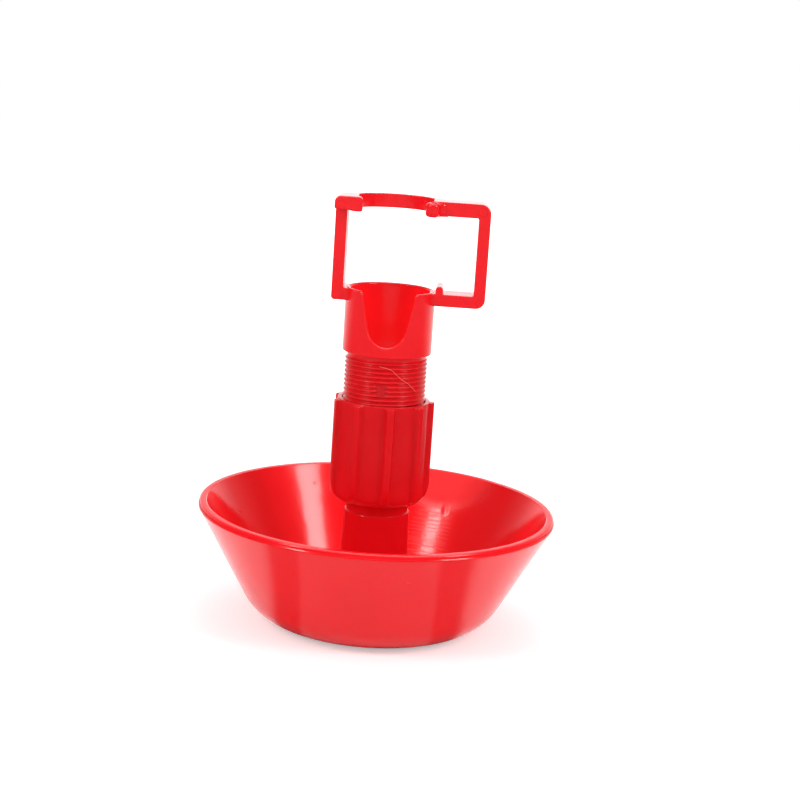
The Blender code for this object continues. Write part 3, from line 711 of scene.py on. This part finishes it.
mix = red_plastic("thread_red", share=0.0)
x, y, z, from_axis = place_of(mix)
beside, over = (x - PATCH_X * MM).abs(), (z - PATCH_Z * MM).abs()
# Painted shade: the flat patch, sunk below the thread's crests, is drawn darker.
patch = beside.most(over).ramp((PATCH_HALF + 0.1) * MM, PATCH_HALF * MM) * y.ramp(0.0, -1.0 * MM)
# Painted light: the band of thread just under the collar is drawn lighter, against the shade that the
# collar's overhang casts there.
under_collar_light = z.ramp((COLLAR_BOTTOM - 1.1) * MM, (COLLAR_BOTTOM - 0.5) * MM)
# The thread's darker tone is painted shade.
tone = mix.cloud * 0.12 + TUBE_SHADED_TONE - patch * 0.16 + under_collar_light * 0.14
gloss = mix.cloud * 0.10 + mix.grain * 0.04 + TUBE_GLOSS
height = mix.grain * 2e-7 + mix.cloud * 6e-6
tube.data.materials.append(coated(mix, tone, gloss, height))
# Painted glow inside the tube's bore and funnel, near its top.
in_funnel = from_axis.ramp((THREAD_ROOT - 0.12) * MM, (THREAD_ROOT - 0.18) * MM)
paint_glow(mix, in_funnel * z.ramp(51.0 * MM, 56.0 * MM) * PAINTED_WALL_GLOW)


# Lint hair: a short fibre, paler than the plastic, that lies bent over the thread's crests at the front
# right. Nothing holds it there but static.
HAIR_THICKNESS = 0.08
HAIR_RADIUS = 8.66
HAIR_STEPS = 60
HAIR_SIDES = 6
HAIR_COLOUR = (0.90, 0.22, 0.19)
HAIR_POINTS = [
    (-1.1, -8.65, 56.20), (1.6, -8.57, 55.57), (2.53, -8.35, 54.64), (3.74, -7.88, 53.56),
    (5.23, -6.98, 52.60), (6.63, -5.66, 50.90),
]


def lint_hair():
    """Thin tube along a smooth line through the points, on the thread's crests.

    Its points are line + radius * (cos a * side + sin a * other), with side and other across the line.
    """
    given = np.array(HAIR_POINTS)
    length = np.concatenate([[0.0], np.cumsum(np.linalg.norm(np.diff(given, axis=0), axis=1))])
    share = np.linspace(0.0, length[-1], HAIR_STEPS)
    line = np.stack([np.interp(share, length, given[:, axis]) for axis in range(3)], axis=1)
    for _ in range(3):
        line[1:-1] = (line[:-2] + line[1:-1] * 2 + line[2:]) / 4
    line[:, :2] *= HAIR_RADIUS / np.linalg.norm(line[:, :2], axis=1, keepdims=True)
    along = np.gradient(line, axis=0)
    along /= np.linalg.norm(along, axis=1, keepdims=True)
    side = np.cross(along, [0.3, 0.9, 0.3])
    side /= np.linalg.norm(side, axis=1, keepdims=True)
    other = np.cross(along, side)
    angle = np.linspace(0.0, 2 * math.pi, HAIR_SIDES, endpoint=False)[None, :, None]
    around = np.cos(angle) * side[:, None] + np.sin(angle) * other[:, None]
    points = line[:, None] + HAIR_THICKNESS / 2 * around
    faces = sheet_faces(HAIR_STEPS, HAIR_SIDES, close_columns=True).tolist()
    faces += [list(range(HAIR_SIDES)), list(range((HAIR_STEPS - 1) * HAIR_SIDES, HAIR_STEPS * HAIR_SIDES))]
    return points * MM, faces


hair = moulding("lint_hair", [lint_hair()])
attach(hair, "hanger")
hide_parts("hanger")

mix = red_plastic("lint")
tone, gloss, height = mix.cloud * 0.2 + 0.9, mix.grain * 0.1 + 0.55, mix.grain * 1e-6
hair.data.materials.append(coated(mix, tone, gloss, height, HAIR_COLOUR))


# Hanger's collar: a thin-walled cup of red plastic at the top of the tube and in one with it. A bird reaches
# the drinker's pin through the notch in its front.
COLLAR_TOP = 71.1
COLLAR_RADIUS = 9.25
COLLAR_MOUTH = 8.35
COLLAR_FOOT = 8.17
COLLAR_EDGE = 0.42
NOTCH_DEPTH = 11.0
NOTCH_RADIUS = 3.8
NOTCH_FLARE = math.radians(11.9)
NOTCH_CORNER = 0.62
FUNNEL_TOP = 60.5


def notched_collar():
    """Shell of the collar on a closed grid of turn and section.

    The rim line is drawn flat, across X and down the notch, and each row near the rim is that line moved into
    the wall along its own normal by d, where the wall is thinner by edge - sqrt(edge^2 - (edge - d)^2). In
    the notch a column keeps the same X through the wall, as a cut made straight from the front does, and past
    it the columns turn smoothly to point at the axis.
    """
    bottom = COLLAR_TOP - NOTCH_DEPTH + NOTCH_RADIUS
    side_x = NOTCH_RADIUS * math.cos(NOTCH_FLARE)
    side_z = bottom - NOTCH_RADIUS * math.sin(NOTCH_FLARE)
    shoulder = side_x + (COLLAR_TOP - side_z) * math.tan(NOTCH_FLARE)
    round_bottom = np.linspace(0.0, math.pi / 2 - NOTCH_FLARE, 22)
    curve_x, curve_z = NOTCH_RADIUS * np.sin(round_bottom), bottom - NOTCH_RADIUS * np.cos(round_bottom)
    curve = np.stack([curve_x, curve_z], axis=1)
    side = path([
        (side_x, side_z, 0.0), (shoulder, COLLAR_TOP, NOTCH_CORNER), (COLLAR_RADIUS, COLLAR_TOP, 0.0),
    ])
    flank = side[0] + (side[1] - side[0]) * np.linspace(0.05, 0.95, 14)[:, None]
    brim_x = side[-2, 0]
    brim_turn = math.asin(brim_x / COLLAR_RADIUS)
    notch = np.concatenate([curve, flank, side[1:-1]])
    rest = brim_turn + (math.pi - brim_turn) * np.linspace(0.0, 1.0, 61)[1:]
    turn = np.concatenate([np.arcsin(notch[:, 0] / COLLAR_RADIUS), rest])
    rim_s = turn * COLLAR_RADIUS
    rim_s[:len(notch)] = notch[:, 0]
    rim_s[len(notch):] += brim_x - brim_turn * COLLAR_RADIUS
    rim_z = np.concatenate([notch[:, 1], np.full(len(rest), COLLAR_TOP)])
    step = np.stack([np.gradient(rim_s), np.gradient(rim_z)], axis=1)
    normal = np.stack([step[:, 1], -step[:, 0]], axis=1) / np.linalg.norm(step, axis=1, keepdims=True)

    sweep = np.linspace(0.0, math.pi / 2, 6)
    moved = COLLAR_EDGE * np.concatenate([1 - np.cos(sweep), [1.3]])
    inset = COLLAR_EDGE * np.concatenate([1 - np.sin(sweep), [0.0]])
    s = rim_s[None] + moved[:, None] * normal[:, 0]
    z = rim_z[None] + moved[:, None] * normal[:, 1]
    down = np.linspace(0.0, 1.0, 14)[1:, None] ** 1.2
    foot = COLLAR_BOTTOM + 0.25
    s = np.concatenate([s, s[-1:] + 0 * down])
    z = np.concatenate([z, z[-1:] + down * (foot - z[-1:])])
    inset = np.concatenate([inset, np.zeros(len(down))])

    def placed(wall_radius, inwards):
        """Rows of one side of the wall, from the rim down."""
        radius = wall_radius + inwards * inset[:, None]
        as_cut = np.arcsin(np.clip(s[:, :len(notch)] / radius[:, :len(notch)], -1, 1))
        past = (s[:, len(notch):] - brim_x) / COLLAR_RADIUS + brim_turn
        at_brim = np.arcsin(brim_x / radius[:, len(notch):])
        easing = (math.pi - past) / (math.pi - brim_turn)
        angle = np.concatenate([as_cut, past + (at_brim - brim_turn) * easing], axis=1)
        return np.stack([radius * np.sin(angle), -radius * np.cos(angle), z], axis=-1)

    slope = (COLLAR_MOUTH - COLLAR_FOOT) / (COLLAR_TOP - COLLAR_BOTTOM)
    taper = (COLLAR_FOOT - FUNNEL_MIDDLE) / (FUNNEL_TOP - COLLAR_BOTTOM)
    mouth = COLLAR_MOUTH - (COLLAR_TOP - z) * slope
    funnel = COLLAR_FOOT + 0.04 - (FUNNEL_TOP - z) * taper
    outside = placed(COLLAR_RADIUS + 0 * z, -1.0)[::-1]
    inside = placed(np.minimum(mouth, funnel), 1.0)

    def ring(beside, radius, level):
        """One more row of the grid: the row beside it at another radius and height."""
        flat = beside[..., :2] * radius / np.linalg.norm(beside[..., :2], axis=-1, keepdims=True)
        return np.concatenate([flat, 0 * beside[..., 2:] + level], axis=-1)

    right_half = np.concatenate([
        ring(outside[:1], THREAD_ROOT - 0.25, COLLAR_BOTTOM),
        ring(outside[:1], COLLAR_RADIUS - 0.2, COLLAR_BOTTOM),
        ring(outside[:1], COLLAR_RADIUS - 0.06, COLLAR_BOTTOM + 0.06),
        ring(outside[:1], COLLAR_RADIUS, foot - 0.05),
        outside,
        inside,
        ring(inside[-1:], FUNNEL_MIDDLE, COLLAR_BOTTOM + 0.1),
        ring(inside[-1:], FUNNEL_MIDDLE + 0.12, COLLAR_BOTTOM + 0.05),
    ])
    left_half = right_half[:, ::-1] * np.array([-1.0, 1.0, 1.0])
    points = np.concatenate([left_half, right_half], axis=1)
    faces = sheet_faces(*points.shape[:2], close_rows=True, close_columns=True)
    return points * MM, faces.tolist()


# Hanger's frame: two square brackets that stand on the collar, one on each side, moulded in one with it. The
# lower bar of the right one has a small rib.
FRAME_LEFT = -12.05
FRAME_RIGHT = 19.5
FRAME_FRONT = -3.5
FRAME_DEPTH = 7.0
BAR_WIDTH = 2.4
LOWER_TOP = 71.0
LOWER_BOTTOM = 68.5
TOP_BOTTOM = 87.0
BAR_TOP = 89.9
FRAME_EDGE = 0.2
IN_COLLAR = 8.8
IN_RING = 8.45
STOP_RIB = 10.05
STOP_RIB_HEIGHT = 1.55
STOP_RIB_HALF = 0.80
STOP_RIB_HALF_TOP = 0.68
INNER_CORNER = 0.35
RIGHT_CORNER_LOW = 1.9
RIGHT_CORNER_HIGH = 2.1


def curved_end(shell, radius, reach, level_low, level_high):
    """Bends the straight end of a bar to the wall it runs into: x = +-sqrt(radius^2 - y^2) past the reach."""
    points, faces = shell
    points = points.copy()
    x, y, z = points[..., 0], points[..., 1], points[..., 2]
    ending = (np.abs(x) < reach * MM) & (z > level_low * MM) & (z < level_high * MM)
    bent = np.sign(x) * np.sqrt(np.maximum((radius * MM) ** 2 - y ** 2, 0))
    points[..., 0] = np.where(ending, bent, x)
    return points, faces


left_inside, right_inside = FRAME_LEFT + BAR_WIDTH, FRAME_RIGHT - BAR_WIDTH
rib_top = LOWER_TOP + STOP_RIB_HEIGHT
left_outline = path([
    (FRAME_LEFT, LOWER_BOTTOM, 0.7), (-IN_COLLAR, LOWER_BOTTOM, 0.0), (-IN_COLLAR, LOWER_TOP, 0.0),
    (left_inside, LOWER_TOP, INNER_CORNER), (left_inside, TOP_BOTTOM + 0.3, INNER_CORNER),
    (-IN_RING, TOP_BOTTOM + 0.3, 0.0), (-IN_RING, BAR_TOP, 0.0), (FRAME_LEFT, BAR_TOP, 1.2),
], closed=True)
right_outline = path([
    (FRAME_RIGHT, LOWER_BOTTOM, RIGHT_CORNER_LOW), (FRAME_RIGHT, BAR_TOP, RIGHT_CORNER_HIGH),
    (IN_RING, BAR_TOP, 0.0), (IN_RING, TOP_BOTTOM, 0.0),
    (right_inside, TOP_BOTTOM, INNER_CORNER), (right_inside, LOWER_TOP, INNER_CORNER),
    (STOP_RIB + STOP_RIB_HALF, LOWER_TOP, 0.15), (STOP_RIB + STOP_RIB_HALF_TOP, rib_top, 0.6),
    (STOP_RIB - STOP_RIB_HALF_TOP, rib_top, 0.6), (STOP_RIB - STOP_RIB_HALF, LOWER_TOP, 0.15),
    (IN_COLLAR, LOWER_TOP, 0.0), (IN_COLLAR, LOWER_BOTTOM, 0.0),
], closed=True)
brackets = []
for outline in (left_outline, right_outline):
    plate = upright(slab(outline * MM, FRAME_DEPTH * MM, FRAME_EDGE * MM), FRAME_FRONT * MM)
    plate = curved_end(plate, IN_COLLAR, 9.2, 0.0, 80.0)
    brackets.append(curved_end(plate, IN_RING, 8.9, 80.0, 100.0))


# Snap ring: an open ring between the top bars, in one with them, that springs over the drinker's body. Its
# left end is a flat block and its right end a round post.
RING_BORE = 8.4
RING_WALL = 1.2
RING_TOP = 89.8
RING_BOTTOM = 86.9
RING_EDGE = 0.2
RING_END = math.radians(213.5)
HANGER_TOP = 90.0
LIP_FRONT = -6.2
LIP_DEPTH = 3.9
LIP_END = -6.5
LIP_BOTTOM = 87.0
ROUND_BEARING = math.radians(-31.8)
ROUND_RADIUS = 1.5
ROUND_EDGE = 0.75
HOLLOW_RADIUS = 2.1
HOLLOW_END = 10.95
WEB_BACK = -1.87


def open_ring():
    """Band of the ring: a rectangle with rounded corners, carried round the back from lip to lip."""
    half_wall, half_height = RING_WALL / 2, (RING_TOP - RING_BOTTOM) / 2
    section = path([
        (-half_wall, -half_height, RING_EDGE), (half_wall, -half_height, RING_EDGE),
        (half_wall, half_height, RING_EDGE), (-half_wall, half_height, RING_EDGE),
    ], closed=True, steps=5)
    angle = np.linspace(ROUND_BEARING, RING_END, 120)[:, None]
    radius = RING_BORE + half_wall + section[:, 0]
    level = (RING_TOP + RING_BOTTOM) / 2 + section[:, 1] + 0 * angle
    points = np.stack([radius * np.cos(angle), radius * np.sin(angle), level], axis=-1)
    rows, columns = points.shape[:2]
    faces = sheet_faces(rows, columns, close_columns=True).tolist()
    faces += [list(range(columns)), list(range((rows - 1) * columns, rows * columns))]
    return points * MM, faces


def round_lip():
    """Round lip at the ring's right end with the web that joins it to the top bar, one plate in plan.

    Its outline is the hollow's quarter circle, the lip's circle from the hollow round the front to the bore,
    and a line back inside the ring and the bar.
    """
    middle = RING_BORE + RING_WALL / 2
    centre = np.array([middle * math.cos(ROUND_BEARING), middle * math.sin(ROUND_BEARING)])
    hollow_middle = np.array([HOLLOW_END, FRAME_FRONT + 0.1 - HOLLOW_RADIUS])
    bend = np.linspace(math.pi / 2, math.pi, 20)
    hollow = hollow_middle + HOLLOW_RADIUS * np.stack([np.cos(bend), np.sin(bend)], axis=1)
    swing = np.radians(np.linspace(-34.0, -250.0, 48))
    lip = centre + ROUND_RADIUS * np.stack([np.cos(swing), np.sin(swing)], axis=1)
    inside = [[RING_BORE + 0.4, WEB_BACK], [HOLLOW_END, WEB_BACK]]
    outline = np.concatenate([hollow, lip, inside])
    plate, faces = slab(outline * MM, (RING_TOP - RING_BOTTOM) * MM, ROUND_EDGE * MM, steps=8)
    return plate + np.array([0.0, 0.0, (RING_BOTTOM - 0.1) * MM]), faces


lip_left = FRAME_LEFT - 0.15
lip_outline = path([
    (lip_left, LIP_BOTTOM + 0.3, 0.45), (-9.7, LIP_BOTTOM + 0.25, 0.5), (-8.3, LIP_BOTTOM + 0.02, 0.5),
    (LIP_END, LIP_BOTTOM, 0.45), (LIP_END, HANGER_TOP, 0.8), (lip_left, HANGER_TOP, 1.25),
], closed=True)
flat_lip = moulding("flat_lip", [upright(slab(lip_outline * MM, LIP_DEPTH * MM, 0.3 * MM), LIP_FRONT * MM)])
bore_radius = RING_BORE + 0.02
bore = path([(0.0, 85.0, 0.0), (bore_radius, 85.0, 0.0), (bore_radius, 92.0, 0.0), (0.0, 92.0, 0.0)])
cut(flat_lip, turned(bore * MM, 180))
bevel = flat_lip.modifiers.new("Soften bore edges", "BEVEL")
bevel.width = 0.12 * MM
bevel.segments = 2
bevel.limit_method = "ANGLE"
bevel.angle_limit = math.radians(40.0)
bpy.context.view_layer.update()
softened = flat_lip.evaluated_get(bpy.context.evaluated_depsgraph_get())
flat_lip.data = bpy.data.meshes.new_from_object(softened)
flat_lip.modifiers.clear()

hanger = moulding("hanger_frame", [notched_collar(), *brackets, open_ring(), round_lip()])
for made in (hanger, flat_lip):
    flats_kept(made)
    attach(made, "hanger")
    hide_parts("hanger")

HANGER_TONE = 0.90
HANGER_GLOSS = 0.12
# Painted glow inside the collar: a weaker amount at its mouth.
PAINTED_MOUTH_GLOW = 0.17
PIN_RADIUS = 0.9
PIN_MARKS = [(-10.78, 88.14), (17.85, 88.26), (18.49, 69.88)]
PARTING_LINES = (-1.6, 1.0)

# The ejector pins left rings on the front of the frame, and the mould's parting left lines on the lower bar.
mix = red_plastic("hanger_red", share=0.0)
x, y, z, from_axis = place_of(mix)
pins = 0.0
for mark_x, mark_z in PIN_MARKS:
    off_x, off_z = x - mark_x * MM, z - mark_z * MM
    off_ring = ((off_x * off_x + off_z * off_z).sqrt() - PIN_RADIUS * MM).abs()
    pins = off_ring.ramp(0.13 * MM, 0.04 * MM) + pins
pins = pins * y.ramp((FRAME_FRONT + 0.4) * MM, (FRAME_FRONT + 0.1) * MM)
first_line, second_line = ((y - line * MM).abs() for line in PARTING_LINES)
on_bar = z.ramp((LOWER_TOP - 0.2) * MM, (LOWER_TOP - 0.1) * MM)
on_bar = on_bar * z.ramp((LOWER_TOP + 0.2) * MM, (LOWER_TOP + 0.1) * MM)
on_bar = on_bar * x.ramp(IN_COLLAR * MM, (IN_COLLAR + 0.6) * MM)
parting = first_line.least(second_line).ramp(0.10 * MM, 0.04 * MM) * on_bar
tone = mix.cloud * 0.10 + HANGER_TONE - pins * 0.08 - parting * 0.10
gloss = mix.cloud * 0.12 + mix.grain * 0.04 + HANGER_GLOSS
height = mix.cloud * 1.2e-5 + mix.grain * 2e-7 - pins * 1.2e-5 - parting * 1.5e-5
hanger_red = coated(mix, tone, gloss, height)
# Painted glow inside the collar, growing from its mouth down to its foot.
in_collar = from_axis.ramp(8.75 * MM, 8.45 * MM) * z.ramp(COLLAR_TOP * MM, (COLLAR_TOP - 0.8) * MM)
deeper = z.ramp((COLLAR_TOP - 1.0) * MM, COLLAR_BOTTOM * MM)
paint_glow(mix, in_collar * (deeper * (PAINTED_WALL_GLOW - PAINTED_MOUTH_GLOW) + PAINTED_MOUTH_GLOW))
hanger.data.materials.append(hanger_red)
flat_lip.data.materials.clear()
flat_lip.data.materials.append(hanger_red)
